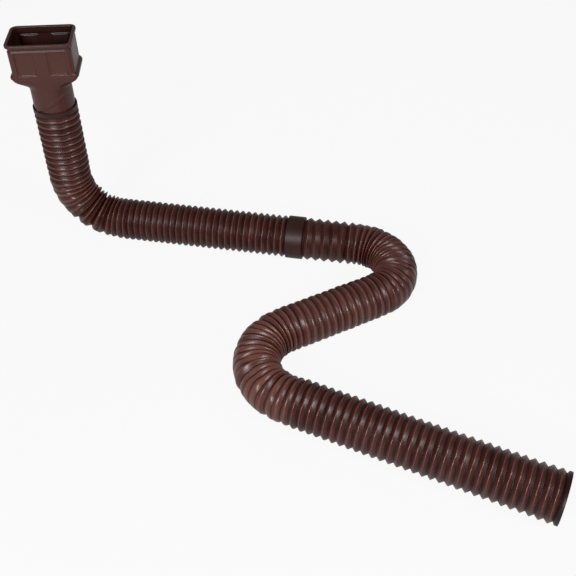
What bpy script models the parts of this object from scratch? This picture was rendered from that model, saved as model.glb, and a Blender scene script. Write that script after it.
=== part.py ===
"""Flexible downspout extension: a moulded adapter on an upright leg of folded hose,
which bends down to the ground and lies there in an S. Metres, +Z up."""
from math import cos, pi, radians, sin, sqrt

import bmesh
import bpy
from mathutils import Matrix, Vector

# Hose section
CREST_DIAMETER = 0.090
HOSE_WALL = 0.0011
FACE_LENGTH = 0.0097
HOSE_SIDES = 10

# Hose runs, from the adapter to the outlet: folds in each and their spacing
UPRIGHT_FOLDS = 10
UPRIGHT_PITCH = 0.0135
FIRST_FOLDS = 26
FIRST_PITCH = 0.0131
OPENED_FOLDS = 5
OPENED_PITCH = 0.0167
MIDDLE_FOLDS = 11
MIDDLE_PITCH = 0.0147
LAST_FOLDS = 31
LAST_PITCH = 0.0143

# Hose bends: turn, folds, and the spacing of the folds on the outside of the bend
FIRST_HEADING = radians(-15.0)
FOOT_TURN = radians(90.0)
FOOT_FOLDS = 16
RIGHT_TURN = radians(-141.9)
RIGHT_FOLDS = 21
LEFT_TURN = radians(127.0)
LEFT_FOLDS = 20
STRETCHED_PITCH = 0.0177
EASING_FOLDS = 3

# Plain bands of the hose
COLLAR_LENGTH = 0.010
COLLAR_WALL = 0.0013
COLLAR_SIDES = 40
CUFF_LENGTH = 0.042
CUFF_WALL = 0.0016
BAND_STEP = 0.003
LIP_LENGTH = 0.005
LIP_INSET = 0.0015
LIP_STEP = 0.003

# Adapter socket: the plain wall, outside
SOCKET_WIDTH = 0.114
SOCKET_DEPTH = 0.0825
SOCKET_HEIGHT = 0.069
SOCKET_CORNER = 0.009
SOCKET_WALL = 0.0017
CORNER_STEPS = 4

# Adapter rim, shoulder, panels and the bead that bulges from the short sides
RIM_PROUD = 0.0045
RIM_HEIGHT = 0.0065
RIM_ROUNDING = 0.0012
GROOVE_HEIGHT = 0.005
SHOULDER_PROUD = 0.0015
EDGE_STEP = 0.0015
PANEL_TOP_BAND = 0.002
PANEL_HEIGHT = 0.0455
PANEL_RECESS = 0.0013
PANEL_SIDE = 0.045
PANEL_RIB = 0.026
BEAD_BULGE = 0.005
BEAD_HEIGHT = 0.006

# Adapter neck and its helical ridges
HIP_HEIGHT = 0.027
HIP_STEPS = 4
NECK_DIAMETER = 0.080
NECK_WALL = 0.0018
NECK_IN_COLLAR = 0.0085
NECK_SHOWN = 0.046
NECK_CHAMFER = 0.0008
RIDGE_STARTS = 2
RIDGE_PROUD = 0.0014
RIDGE_WIDTH = 0.0045
RIDGE_TOP_WIDTH = 0.0026
RIDGE_LEAD = 0.130
RIDGE_TOP_BELOW_HIP = 0.0135
RIDGE_FIRST_ANGLE = radians(-44.0)
RIDGE_STEP = radians(9.0)
RIDGE_RUNOUT = radians(18.0)
RIDGE_ROOT = 0.0006

# Clearance of the collar over the ridges
COLLAR_CLEARANCE = 0.0003

CREST_RADIUS = CREST_DIAMETER / 2
NECK_RADIUS = NECK_DIAMETER / 2
UP = Vector((0.0, 0.0, 1.0))
DOWN = -UP


def clear_scene():
    """Take away whatever the scene starts with."""
    for item in list(bpy.data.objects):
        bpy.data.objects.remove(item)


def plastic(name, colour, roughness):
    """A moulded plastic with one colour."""
    material = bpy.data.materials.new(name)
    material.use_nodes = True
    shader = material.node_tree.nodes["Principled BSDF"]
    shader.inputs["Base Color"].default_value = (*colour, 1.0)
    shader.inputs["Roughness"].default_value = roughness
    shader.inputs["Metallic"].default_value = 0.0
    return material


def join_equal(work, here, after):
    """Four-sided faces between two rings of as many corners."""
    count = len(here)
    for side in range(count):
        beside = (side + 1) % count
        work.faces.new((here[side], here[beside], after[beside], after[side]))


def join_finer(work, fine, coarse):
    """Fans of faces between a ring and one with a whole share of its corners."""
    share = len(fine) // len(coarse)
    for side, corner in enumerate(coarse):
        next_corner = coarse[(side + 1) % len(coarse)]
        span = [fine[(side * share + point) % len(fine)] for point in range(share + 1)]
        middle = share // 2
        for point in range(share):
            apex = corner if point < middle else next_corner
            work.faces.new((span[point], span[point + 1], apex))
        work.faces.new((span[middle], next_corner, corner))


def closed_loft(name, rings, material):
    """An object whose skin runs through rings of points and back to the first ring."""
    work = bmesh.new()
    loops = [[work.verts.new(point) for point in ring] for ring in rings]
    for here, after in zip(loops, loops[1:] + loops[:1]):
        if len(here) == len(after):
            join_equal(work, here, after)
        elif len(here) > len(after):
            join_finer(work, here, after)
        else:
            join_finer(work, after, here)
    bmesh.ops.recalc_face_normals(work, faces=work.faces[:])
    bmesh.ops.triangulate(work, faces=work.faces[:])
    mesh = bpy.data.meshes.new(name)
    work.to_mesh(mesh)
    work.free()
    mesh.shade_smooth()
    mesh.set_sharp_from_angle(angle=radians(35.0))
    mesh.materials.append(material)
    item = bpy.data.objects.new(name, mesh)
    bpy.context.collection.objects.link(item)
    return item


class Step:
    """Half a fold, or a plain stretch: how far it goes and how much it turns."""

    def __init__(self, length, turn=0.0, about_up=True):
        self.length = length
        self.turn = turn
        self.about_up = about_up


def straight(folds, pitch):
    """Half folds of a straight run."""
    return [Step(pitch / 2) for _ in range(2 * folds)]


def bend(turn, folds, pitch_before, pitch_after, about_up=True):
    """Half folds of a bend: wedges that ease in and out, stretched on the outside."""
    ease = [min(1.0, (k + 1) / (EASING_FOLDS + 1), (folds - k) / (EASING_FOLDS + 1))
            for k in range(folds)]
    steps = []
    for k, share in enumerate(ease):
        rest = pitch_before if k < folds / 2 else pitch_after
        outside = rest + (STRETCHED_PITCH - rest) * share
        wedge = turn * share / sum(ease)
        pitch = outside - abs(wedge) * CREST_RADIUS
        steps += [Step(pitch / 2, wedge / 2, about_up) for _ in range(2)]
    return steps


def hose_steps():
    """The hose below its collar, as steps to the end of each crest, valley or band."""
    before_cuff = (straight(UPRIGHT_FOLDS, UPRIGHT_PITCH)
                   + bend(FOOT_TURN, FOOT_FOLDS, UPRIGHT_PITCH, FIRST_PITCH, about_up=False)
                   + straight(FIRST_FOLDS, FIRST_PITCH))
    after_cuff = (straight(OPENED_FOLDS, OPENED_PITCH)
                  + bend(RIGHT_TURN, RIGHT_FOLDS, OPENED_PITCH, MIDDLE_PITCH)
                  + straight(MIDDLE_FOLDS, MIDDLE_PITCH)
                  + bend(LEFT_TURN, LEFT_FOLDS, MIDDLE_PITCH, LAST_PITCH)
                  + straight(LAST_FOLDS, LAST_PITCH))
    return before_cuff, after_cuff


class Station:
    """A place along the hose: its centre, its three directions, and its skin."""

    def __init__(self, centre, ahead, side):
        self.centre = centre
        self.ahead = ahead
        self.side = side
        self.over = ahead.cross(side)

    def directions(self, sides=HOSE_SIDES):
        """Unit vectors from the centre to the corners, the first one underneath."""
        for corner in range(sides):
            angle = 2 * pi * corner / sides - pi / 2
            yield cos(angle) * self.side + sin(angle) * self.over


def advance(station, step):
    """The station at the far end of a step, turned by the step's wedge."""
    axis = UP if step.about_up else station.side * -1
    halfway = Matrix.Rotation(step.turn / 2, 3, axis)
    turned = Matrix.Rotation(step.turn, 3, axis)
    centre = station.centre + halfway @ station.ahead * step.length
    side = turned @ station.side if step.about_up else station.side
    return Station(centre, turned @ station.ahead, side)


def half_fold_at(station, step, direction):
    """Length of a half fold where it passes a corner of the ring."""
    axis = UP if step.about_up else station.side * -1
    inward = axis.cross(station.ahead)
    return step.length - step.turn * CREST_RADIUS * direction.dot(inward)


def fold_ring(station, before, after, is_crest):
    """Outer and inner points of a crest or a valley; a closed fold is a deep one."""
    outer = []
    inner = []
    for direction in station.directions():
        half = (half_fold_at(station, before, direction)
                + half_fold_at(station, after, direction)) / 2
        depth = 0.0 if is_crest else sqrt(FACE_LENGTH ** 2 - half ** 2)
        radius = CREST_RADIUS - depth
        outer.append(station.centre + direction * radius)
        inner.append(station.centre + direction * (radius - HOSE_WALL * FACE_LENGTH / half))
    return outer, inner


def plain_ring(station, radius, wall, sides=HOSE_SIDES):
    """Outer and inner points of a plain band."""
    directions = list(station.directions(sides))
    outer = [station.centre + direction * radius for direction in directions]
    inner = [station.centre + direction * (radius - wall) for direction in directions]
    return outer, inner


def add_folds(station, steps, rings):
    """Rings of a run of folds, valley to valley, after a station that is a valley."""
    for index, step in enumerate(steps):
        following = steps[min(index + 1, len(steps) - 1)]
        station = advance(station, step)
        rings.append(fold_ring(station, step, following, is_crest=index % 2 == 0))
    return station


def add_band(station, lengths, radius, wall, rings):
    """Rings of a plain band, after a step out of a valley."""
    for length in lengths:
        station = advance(station, Step(length))
        rings.append(plain_ring(station, radius, wall))
    return station


def add_collar(station, rings):
    """Rings of the collar, rounder than the folds, with a bore that clears the neck's ridges."""
    bore = (NECK_RADIUS + RIDGE_PROUD + COLLAR_CLEARANCE) / cos(pi / COLLAR_SIDES)
    rings.append(plain_ring(station, bore + COLLAR_WALL, COLLAR_WALL, COLLAR_SIDES))
    station = advance(station, Step(COLLAR_LENGTH))
    rings.append(plain_ring(station, bore + COLLAR_WALL, COLLAR_WALL, COLLAR_SIDES))
    return station


def make_hose(material):
    """The whole hose as one moulded wall, with its collar on the way in at the origin."""
    heading = Vector((cos(FIRST_HEADING), sin(FIRST_HEADING), 0.0))
    station = Station(Vector(), DOWN, UP.cross(heading))
    before_cuff, after_cuff = hose_steps()
    rings = []
    station = add_collar(station, rings)
    station = advance(station, Step(BAND_STEP))
    rings.append(fold_ring(station, before_cuff[0], before_cuff[0], is_crest=False))
    station = add_folds(station, before_cuff, rings)
    station = add_band(station, [BAND_STEP, CUFF_LENGTH], CREST_RADIUS, CUFF_WALL, rings)
    station = advance(station, Step(BAND_STEP))
    rings.append(fold_ring(station, after_cuff[0], after_cuff[0], is_crest=False))
    station = add_folds(station, after_cuff, rings)
    lip = [LIP_STEP, LIP_LENGTH]
    station = add_band(station, lip, CREST_RADIUS - LIP_INSET, CUFF_WALL, rings)
    outer = [ring[0] for ring in rings]
    inner = [ring[1] for ring in rings]
    hose = closed_loft("corrugated_hose", outer + inner[::-1], material)
    hose.location.z = CREST_RADIUS - station.centre.z
    return hose


def socket_ring(proud, height, recess=0.0, bulge=0.0):
    """A rounded rectangle round the socket; recess sinks the panels of its long sides,
    bulge widens it at its short sides."""
    half_x = SOCKET_WIDTH / 2 + proud + bulge
    half_y = SOCKET_DEPTH / 2 + proud
    corner = SOCKET_CORNER + proud
    quarter = [(half_x, 0.0)]
    for step in range(CORNER_STEPS + 1):
        angle = pi / 2 * step / CORNER_STEPS
        quarter.append((half_x - corner + corner * cos(angle),
                        half_y - corner + corner * sin(angle)))
    quarter.append((PANEL_SIDE, half_y))
    quarter.append((PANEL_SIDE - EDGE_STEP, half_y - recess))
    quarter.append((PANEL_RIB / 2 + EDGE_STEP, half_y - recess))
    quarter.append((PANEL_RIB / 2, half_y))
    quarter.append((0.0, half_y))
    half = quarter + [(-x, y) for x, y in reversed(quarter[:-1])]
    outline = half + [(x, -y) for x, y in reversed(half[1:-1])]
    return [Vector((x, y, height)) for x, y in outline]


def round_ring(radius, height, count):
    """A circle with as many points as the socket's rings."""
    angles = [2 * pi * point / count for point in range(count)]
    return [Vector((radius * cos(a), radius * sin(a), height)) for a in angles]


def hip_rings(start, end):
    """Rings that pass smoothly from a socket ring to a round one."""
    rings = []
    for step in range(1, HIP_STEPS):
        share = step / HIP_STEPS
        eased = sin(share * pi / 2) ** 2
        ring = [a.lerp(b, eased) for a, b in zip(start, end)]
        for point, a, b in zip(ring, start, end):
            point.z = a.z + (b.z - a.z) * share
        rings.append(ring)
    return rings


def adapter_levels():
    """Heights on the adapter above the neck's lower end, from the rim down."""
    neck_top = NECK_IN_COLLAR + NECK_SHOWN
    socket_bottom = neck_top + HIP_HEIGHT
    rim = socket_bottom + SOCKET_HEIGHT
    groove = rim - RIM_HEIGHT
    shoulder = groove - GROOVE_HEIGHT
    panel_top = shoulder - EDGE_STEP - PANEL_TOP_BAND
    panel_bottom = panel_top - PANEL_HEIGHT
    return neck_top, socket_bottom, rim, groove, shoulder, panel_top, panel_bottom


def adapter_outside():
    """Outer rings of the adapter, from the rim down to the neck's end."""
    neck_top, bottom, rim, groove, shoulder, panel_top, panel_bottom = adapter_levels()
    bead_top = panel_bottom - 2 * EDGE_STEP
    rings = [
        socket_ring(RIM_PROUD - RIM_ROUNDING, rim),
        socket_ring(RIM_PROUD, rim - RIM_ROUNDING),
        socket_ring(RIM_PROUD, groove + RIM_ROUNDING + EDGE_STEP),
        socket_ring(RIM_PROUD - RIM_ROUNDING, groove + EDGE_STEP),
        socket_ring(0.0, groove),
        socket_ring(0.0, shoulder),
        socket_ring(SHOULDER_PROUD, shoulder - EDGE_STEP),
        socket_ring(SHOULDER_PROUD, panel_top),
        socket_ring(SHOULDER_PROUD, panel_top - EDGE_STEP, PANEL_RECESS),
        socket_ring(SHOULDER_PROUD, panel_bottom + EDGE_STEP, PANEL_RECESS),
        socket_ring(SHOULDER_PROUD, panel_bottom, bulge=BEAD_BULGE / 2),
        socket_ring(SHOULDER_PROUD, bead_top, bulge=BEAD_BULGE),
        socket_ring(SHOULDER_PROUD, bead_top - BEAD_HEIGHT + EDGE_STEP, bulge=BEAD_BULGE),
        socket_ring(SHOULDER_PROUD, bottom, bulge=BEAD_BULGE / 2),
    ]
    count = len(rings[0])
    neck = round_ring(NECK_RADIUS, neck_top, count)
    rings += hip_rings(rings[-1], neck)
    rings.append(neck)
    rings.append(round_ring(NECK_RADIUS, NECK_CHAMFER, count))
    rings.append(round_ring(NECK_RADIUS - NECK_CHAMFER, 0.0, count))
    return rings


def adapter_inside():
    """Inner rings of the adapter, from the rim down; the panels stand in on this side."""
    neck_top, bottom, rim, groove, shoulder, panel_top, panel_bottom = adapter_levels()
    mouth = -SOCKET_WALL
    chamber = SHOULDER_PROUD - SOCKET_WALL
    bead_top = panel_bottom - 2 * EDGE_STEP
    rings = [
        socket_ring(mouth + NECK_CHAMFER, rim),
        socket_ring(mouth, rim - NECK_CHAMFER),
        socket_ring(mouth, shoulder),
        socket_ring(chamber, shoulder - EDGE_STEP),
        socket_ring(chamber, panel_top),
        socket_ring(chamber, panel_top - EDGE_STEP, PANEL_RECESS),
        socket_ring(chamber, panel_bottom + EDGE_STEP, PANEL_RECESS),
        socket_ring(chamber, panel_bottom, bulge=BEAD_BULGE / 2),
        socket_ring(chamber, bead_top, bulge=BEAD_BULGE),
        socket_ring(chamber, bead_top - BEAD_HEIGHT + EDGE_STEP, bulge=BEAD_BULGE),
        socket_ring(chamber, bottom, bulge=BEAD_BULGE / 2),
    ]
    count = len(rings[0])
    neck = round_ring(NECK_RADIUS - NECK_WALL, neck_top, count)
    rings += hip_rings(rings[-1], neck)
    rings.append(neck)
    rings.append(round_ring(NECK_RADIUS - NECK_WALL, 0.0, count))
    return rings


def ridge_section(angle, height, proud):
    """Four corners of the ridge where it passes an angle round the neck."""
    out = Vector((cos(angle), sin(angle), 0.0))
    root = NECK_RADIUS - RIDGE_ROOT
    crown = NECK_RADIUS + proud
    corners = ((root, -RIDGE_WIDTH), (crown, -RIDGE_TOP_WIDTH),
               (crown, RIDGE_TOP_WIDTH), (root, RIDGE_WIDTH))
    return [out * radius + UP * (height + rise / 2) for radius, rise in corners]


def add_ridge(work, start):
    """One helical ridge, which runs out to nothing at its upper end."""
    neck_top = NECK_IN_COLLAR + NECK_SHOWN
    top = neck_top - RIDGE_TOP_BELOW_HIP
    bottom = NECK_CHAMFER + RIDGE_WIDTH / 2
    sweep = 2 * pi * (top - bottom) / RIDGE_LEAD
    count = round(sweep / RIDGE_STEP)
    sections = []
    for step in range(count + 1):
        turned = sweep * step / count
        left = min(1.0, (sweep - turned) / RIDGE_RUNOUT)
        proud = RIDGE_PROUD * left - RIDGE_ROOT * (1.0 - left) / 2
        height = bottom + RIDGE_LEAD * turned / (2 * pi)
        corners = ridge_section(start - sweep + turned, height, proud)
        sections.append([work.verts.new(point) for point in corners])
    for here, after in zip(sections, sections[1:]):
        for side in range(4):
            beside = (side + 1) % 4
            work.faces.new((here[side], here[beside], after[beside], after[side]))
    work.faces.new(sections[0][::-1])
    work.faces.new(sections[-1])


def make_ridges():
    """The helical ridges as one guide for the union with the neck."""
    work = bmesh.new()
    for start in range(RIDGE_STARTS):
        add_ridge(work, RIDGE_FIRST_ANGLE + 2 * pi * start / RIDGE_STARTS)
    bmesh.ops.recalc_face_normals(work, faces=work.faces[:])
    mesh = bpy.data.meshes.new("neck_ridges")
    work.to_mesh(mesh)
    work.free()
    guide = bpy.data.objects.new("neck_ridges", mesh)
    bpy.context.collection.objects.link(guide)
    guide.hide_render = True
    guide.display_type = "WIRE"
    return guide


def make_adapter(material):
    """The adapter as one moulded wall: a rectangular socket over a round neck."""
    rings = adapter_outside() + adapter_inside()[::-1]
    adapter = closed_loft("downspout_adapter", rings, material)
    guide = make_ridges()
    guide.parent = adapter
    union = adapter.modifiers.new("ridges", "BOOLEAN")
    union.operation = "UNION"
    union.solver = "EXACT"
    union.object = guide
    return adapter


def plan_centre(items):
    """Middle of the pieces' outline, seen from above."""
    bpy.context.view_layer.update()
    points = [item.matrix_world @ vertex.co for item in items for vertex in item.data.vertices]
    xs = [point.x for point in points]
    ys = [point.y for point in points]
    return (min(xs) + max(xs)) / 2, (min(ys) + max(ys)) / 2


def build():
    """Both pieces, under one empty that stands at the middle of the plan."""
    clear_scene()
    brown = plastic("brown_polypropylene", (0.076, 0.038, 0.031), 0.42)
    hose = make_hose(brown)
    adapter = make_adapter(brown)
    adapter.location = hose.location - UP * NECK_IN_COLLAR
    root = bpy.data.objects.new("downspout_extension", None)
    bpy.context.collection.objects.link(root)
    for item in (hose, adapter):
        item.parent = root
    centre_x, centre_y = plan_centre((hose, adapter))
    root.location = (-centre_x, -centre_y, 0.0)


build()
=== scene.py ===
# %% [markdown]
# # Flexible downspout extension
# A moulded adapter takes the end of a rectangular downspout and narrows to a round neck. A folded
# hose is pushed over the neck, bends down to the ground and lies there in an S.
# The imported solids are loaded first. They are the frame: every piece below is made in their
# coordinates, in metres, and then stands for one of them.

# %% Load the frame
from math import cos, pi, radians, sin

import bpy
import numpy as np
from mathutils import Matrix, Vector


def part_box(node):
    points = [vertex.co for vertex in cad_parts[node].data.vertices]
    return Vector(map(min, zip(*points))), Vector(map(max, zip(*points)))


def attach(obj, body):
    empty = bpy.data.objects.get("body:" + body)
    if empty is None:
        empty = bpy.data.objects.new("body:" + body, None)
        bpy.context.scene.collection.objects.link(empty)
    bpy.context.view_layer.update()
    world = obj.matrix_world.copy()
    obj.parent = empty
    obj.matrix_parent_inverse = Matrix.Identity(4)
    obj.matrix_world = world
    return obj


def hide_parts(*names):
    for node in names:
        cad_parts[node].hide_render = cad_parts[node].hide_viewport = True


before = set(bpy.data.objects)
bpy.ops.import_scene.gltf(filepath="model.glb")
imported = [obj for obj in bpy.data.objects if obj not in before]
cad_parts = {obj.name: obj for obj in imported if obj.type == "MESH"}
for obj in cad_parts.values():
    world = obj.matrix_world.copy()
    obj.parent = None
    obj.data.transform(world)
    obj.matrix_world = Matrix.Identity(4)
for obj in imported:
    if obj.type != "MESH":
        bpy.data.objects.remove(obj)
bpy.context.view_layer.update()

# %% [markdown]
# ## Where things are
# The adapter is symmetric about its neck, so the middle of its box is the axis that the neck and
# the hose's upright leg share. The hose's box ends in its collar at the top.

# %% Axis and collar height
adapter_low, adapter_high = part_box("downspout_adapter")
_, hose_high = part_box("corrugated_hose")
AXIS = (adapter_low + adapter_high) / 2
COLLAR_TOP = Vector((AXIS.x, AXIS.y, hose_high.z))
NECK_END = Vector((AXIS.x, AXIS.y, adapter_low.z))
print("collar top at", COLLAR_TOP, "neck ends at", NECK_END)

# %% [markdown]
# ## The camera
# The camera stands about a metre in front of the middle of the hose and a little over a metre up,
# and looks down at 42 degrees. A 50 mm lens on a 36 mm sensor is Blender's own default and suits
# the perspective. It is placed from the collar, because that is where the picture fixes it best.

# %% Camera
LENS_MM = 50.0
SENSOR_MM = 36.0
FROM_COLLAR = Vector((0.3361, -1.4527, 0.7948))
DEGREES_DOWN = 42.25
DEGREES_RIGHT = 5.0

camera = bpy.data.objects.new("camera", bpy.data.cameras.new("camera"))
bpy.context.scene.collection.objects.link(camera)
camera.data.lens = LENS_MM
camera.data.sensor_width = SENSOR_MM
camera.location = COLLAR_TOP + FROM_COLLAR
camera.rotation_euler = (radians(90.0 - DEGREES_DOWN), 0.0, radians(-DEGREES_RIGHT))
bpy.context.scene.camera = camera
print("camera at", camera.location)

# %% [markdown]
# ## One helper for nodes
# Shaders and Geometry Nodes are both built from nodes with settings, input values and links, so
# one small function serves for all. A colour is written as the sRGB hex value that a paint program
# shows, and turned to the linear numbers that Blender works in.

# %% Helpers
def add_node(tree, kind, inputs=None, **settings):
    """A node of a kind, with settings, and inputs that are values or other nodes' outputs."""
    node = tree.nodes.new(kind)
    for name, value in settings.items():
        setattr(node, name, value)
    for key, value in (inputs or {}).items():
        if isinstance(value, bpy.types.NodeSocket):
            tree.links.new(value, node.inputs[key])
        else:
            node.inputs[key].default_value = value
    return node


def colour(code):
    """Linear colour of an sRGB hex value."""
    shares = [int(code[place:place + 2], 16) / 255 for place in (1, 3, 5)]
    return (*[s / 12.92 if s <= 0.04045 else ((s + 0.055) / 1.055) ** 2.4 for s in shares], 1.0)


def new_material(name):
    """An empty node material: its tree and its output."""
    material = bpy.data.materials.new(name)
    material.use_nodes = True
    material.node_tree.nodes.clear()
    return material, material.node_tree, add_node(material.node_tree, "ShaderNodeOutputMaterial")


print("middle grey in linear light:", round(colour("#808080")[0], 3))

# %% [markdown]
# ## Brown blown plastic
# The hose is blow-moulded polypropylene: melt is blown against a ribbed mould, so the skin is
# satin and a little uneven. The mesh carries two numbers that the material reads. `crest` is 1 on
# a crest and 0 in a valley: the crests rub against everything, so they are smoother, and their
# very edge is paler, partly worn and partly a painted highlight. The valleys and the plain bands
# get painted shade and stay dull. The second number is painted sheen: it lightens the bends where
# broad highlights fall. A slow noise varies the brown, and a fine one breaks up the paler edge and
# the gloss. A noise repeats about `scale` times in a metre, so 1000 over its size in millimetres is
# its scale.

# %% Hose plastic
BROWN = "#340D07"
# Paler crest edge: partly wear, partly a painted highlight
WORN_HIGHLIGHT_BROWN = "#7C4D45"
# Painted sheen on the bends
PAINTED_SHEEN_BROWN = "#7E4F45"
# Painted shade in the valleys and on the plain bands
VALLEY_SHADE_BROWN = "#200805"
MOTTLE_MM = 36.0
SCUFF_MM = 2.4  # real scuffs are hairlines; these are as coarse as they need to be to show
NOISE_LOW, NOISE_HIGH = 0.3, 0.7  # nearly all of a noise lies between these
WEAR_HIGHLIGHT_FROM, WEAR_HIGHLIGHT_FULLY = 0.85, 0.91
MOTTLED_WEAR = 0.22
VALLEY_SHADE_UNTIL = 0.45
RUBBED_FROM, RUBBED_FULLY = 0.20, 0.90
UNRUBBED = -0.6
RUBBED_GLOSS = 0.12
HOSE_ROUGHNESS = (0.34, 0.42)
SCUFF_RELIEF = 0.12
SCUFF_DEPTH = 0.0002
POLYPROPYLENE_IOR = 1.49
HOSE_SPECULAR = 0.38


def blown_plastic():
    """Satin brown polypropylene: worn crests with painted highlight, painted shade and sheen."""
    material, tree, output = new_material("blow_moulded_polypropylene_brown")
    place = add_node(tree, "ShaderNodeTexCoord")
    crest = add_node(tree, "ShaderNodeAttribute", attribute_name="crest")
    mottle = add_node(tree, "ShaderNodeTexNoise", {
        "Vector": place.outputs["Object"], "Scale": 1000.0 / MOTTLE_MM, "Detail": 4.0})
    scuff = add_node(tree, "ShaderNodeTexNoise", {
        "Vector": place.outputs["Object"], "Scale": 1000.0 / SCUFF_MM, "Detail": 3.0})

    # Brown, mottled, and paler along the edge of each crest: partly wear, partly painted highlight
    edge = add_node(tree, "ShaderNodeMapRange", {
        0: crest.outputs["Fac"], 1: WEAR_HIGHLIGHT_FROM, 2: WEAR_HIGHLIGHT_FULLY, 3: 0.0, 4: 1.0},
        interpolation_type="SMOOTHSTEP")
    wear_and_highlight = add_node(tree, "ShaderNodeMath", {0: edge.outputs[0], 1: scuff.outputs["Fac"]},
                    operation="MULTIPLY")
    tone = add_node(tree, "ShaderNodeMapRange", {
        0: mottle.outputs["Fac"], 1: NOISE_LOW, 2: NOISE_HIGH, 3: 0.0, 4: MOTTLED_WEAR})
    amount = add_node(tree, "ShaderNodeMath", {0: wear_and_highlight.outputs[0], 1: tone.outputs[0]},
                      operation="ADD", use_clamp=True)
    base = add_node(tree, "ShaderNodeMix", {0: amount.outputs[0], 6: colour(BROWN),
                                            7: colour(WORN_HIGHLIGHT_BROWN)}, data_type="RGBA")

    # Painted sheen lightens the bends, and painted shade darkens the valleys and the plain bands
    strained = add_node(tree, "ShaderNodeAttribute", attribute_name="painted_sheen")
    base = add_node(tree, "ShaderNodeMix", {0: strained.outputs["Fac"], 6: base.outputs[2],
                                            7: colour(PAINTED_SHEEN_BROWN)}, data_type="RGBA")
    sunk = add_node(tree, "ShaderNodeMapRange", {
        0: crest.outputs["Fac"], 1: 0.0, 2: VALLEY_SHADE_UNTIL, 3: 1.0, 4: 0.0},
        interpolation_type="SMOOTHSTEP")
    base = add_node(tree, "ShaderNodeMix", {0: sunk.outputs[0], 6: base.outputs[2],
                                            7: colour(VALLEY_SHADE_BROWN)}, data_type="RGBA")

    # Smoother towards the crest, duller where nothing rubs it, and a little rough everywhere
    rubbed = add_node(tree, "ShaderNodeMapRange", {
        0: crest.outputs["Fac"], 1: RUBBED_FROM, 2: RUBBED_FULLY, 3: UNRUBBED, 4: 1.0})
    skin = add_node(tree, "ShaderNodeMapRange", {
        0: scuff.outputs["Fac"], 1: NOISE_LOW, 2: NOISE_HIGH,
        3: HOSE_ROUGHNESS[0], 4: HOSE_ROUGHNESS[1]})
    rough = add_node(tree, "ShaderNodeMath", {
        0: rubbed.outputs[0], 1: -RUBBED_GLOSS, 2: skin.outputs[0]}, operation="MULTIPLY_ADD")
    bump = add_node(tree, "ShaderNodeBump", {
        "Height": scuff.outputs["Fac"], "Strength": SCUFF_RELIEF, "Distance": SCUFF_DEPTH})
    shader = add_node(tree, "ShaderNodeBsdfPrincipled", {
        "Base Color": base.outputs[2], "Roughness": rough.outputs[0],
        "Normal": bump.outputs["Normal"], "IOR": POLYPROPYLENE_IOR,
        "Specular IOR Level": HOSE_SPECULAR})
    tree.links.new(shader.outputs[0], output.inputs["Surface"])
    return material


hose_plastic = blown_plastic()
print("material:", hose_plastic.name)

# %% [markdown]
# ## Brown moulded plastic
# The adapter is injection-moulded, so its faces are flatter and more even than the hose's, with
# the fine grain of the mould. Its mesh carries `shade`, which mixes in a darker brown as painted
# shade: all of it on the inside, and a part in the groove, at the step above the neck and under
# the ridge, where little light comes.

# %% Adapter plastic
ADAPTER_BROWN = "#451F18"
ADAPTER_BROWN_LIGHT = "#4E261F"
# The next colour is painted shade for the inside and the hollows
PAINTED_SHADE_BROWN = "#2E1410"
SHEEN_MM = 45.0
GRAIN_MM = 1.1  # a mould's grain is about 0.2 mm; this is as coarse as it needs to be to show
ADAPTER_ROUGHNESS = (0.30, 0.38)
GRAIN_RELIEF = 0.10
GRAIN_DEPTH = 0.0001
ADAPTER_SPECULAR = 0.5


def moulded_plastic():
    """Satin brown polypropylene from a finely grained mould."""
    material, tree, output = new_material("injection_moulded_polypropylene_brown")
    place = add_node(tree, "ShaderNodeTexCoord")
    mottle = add_node(tree, "ShaderNodeTexNoise", {
        "Vector": place.outputs["Object"], "Scale": 1000.0 / SHEEN_MM, "Detail": 3.0})
    grain = add_node(tree, "ShaderNodeTexNoise", {
        "Vector": place.outputs["Object"], "Scale": 1000.0 / GRAIN_MM, "Detail": 2.0})
    base = add_node(tree, "ShaderNodeMix", {0: mottle.outputs["Fac"], 6: colour(ADAPTER_BROWN),
                                            7: colour(ADAPTER_BROWN_LIGHT)}, data_type="RGBA")
    # Painted shade: a darker brown inside and in the hollows, where little light comes
    shade = add_node(tree, "ShaderNodeAttribute", attribute_name="shade")
    base = add_node(tree, "ShaderNodeMix", {0: shade.outputs["Fac"], 6: base.outputs[2],
                                            7: colour(PAINTED_SHADE_BROWN)}, data_type="RGBA")
    rough = add_node(tree, "ShaderNodeMapRange", {
        0: mottle.outputs["Fac"], 1: NOISE_LOW, 2: NOISE_HIGH,
        3: ADAPTER_ROUGHNESS[0], 4: ADAPTER_ROUGHNESS[1]})
    bump = add_node(tree, "ShaderNodeBump", {
        "Height": grain.outputs["Fac"], "Strength": GRAIN_RELIEF, "Distance": GRAIN_DEPTH})
    shader = add_node(tree, "ShaderNodeBsdfPrincipled", {
        "Base Color": base.outputs[2], "Roughness": rough.outputs[0],
        "Normal": bump.outputs["Normal"], "IOR": POLYPROPYLENE_IOR,
        "Specular IOR Level": ADAPTER_SPECULAR})
    tree.links.new(shader.outputs[0], output.inputs["Surface"])
    return material


adapter_plastic = moulded_plastic()
print("material:", adapter_plastic.name)

# %% [markdown]
# ## The hose as a chain of half-folds
# A folded hose bends because each fold becomes a wedge: closed on the inside of the bend, open on
# the outside. A straight one could be bent by a Curve modifier, but that stretches its walls, and
# a real fold hinges instead. So the hose is laid out as a chain of steps, each half a fold long,
# and each turns by its share of the bend. A step also says how its fold gives. Above 0 the fold
# is stretched flat sooner and its crest is broader. Below 0 it is a deep crease, as where the hose
# kinks at the foot of the upright. Last, it says how much painted sheen lightens the bend there.

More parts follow.
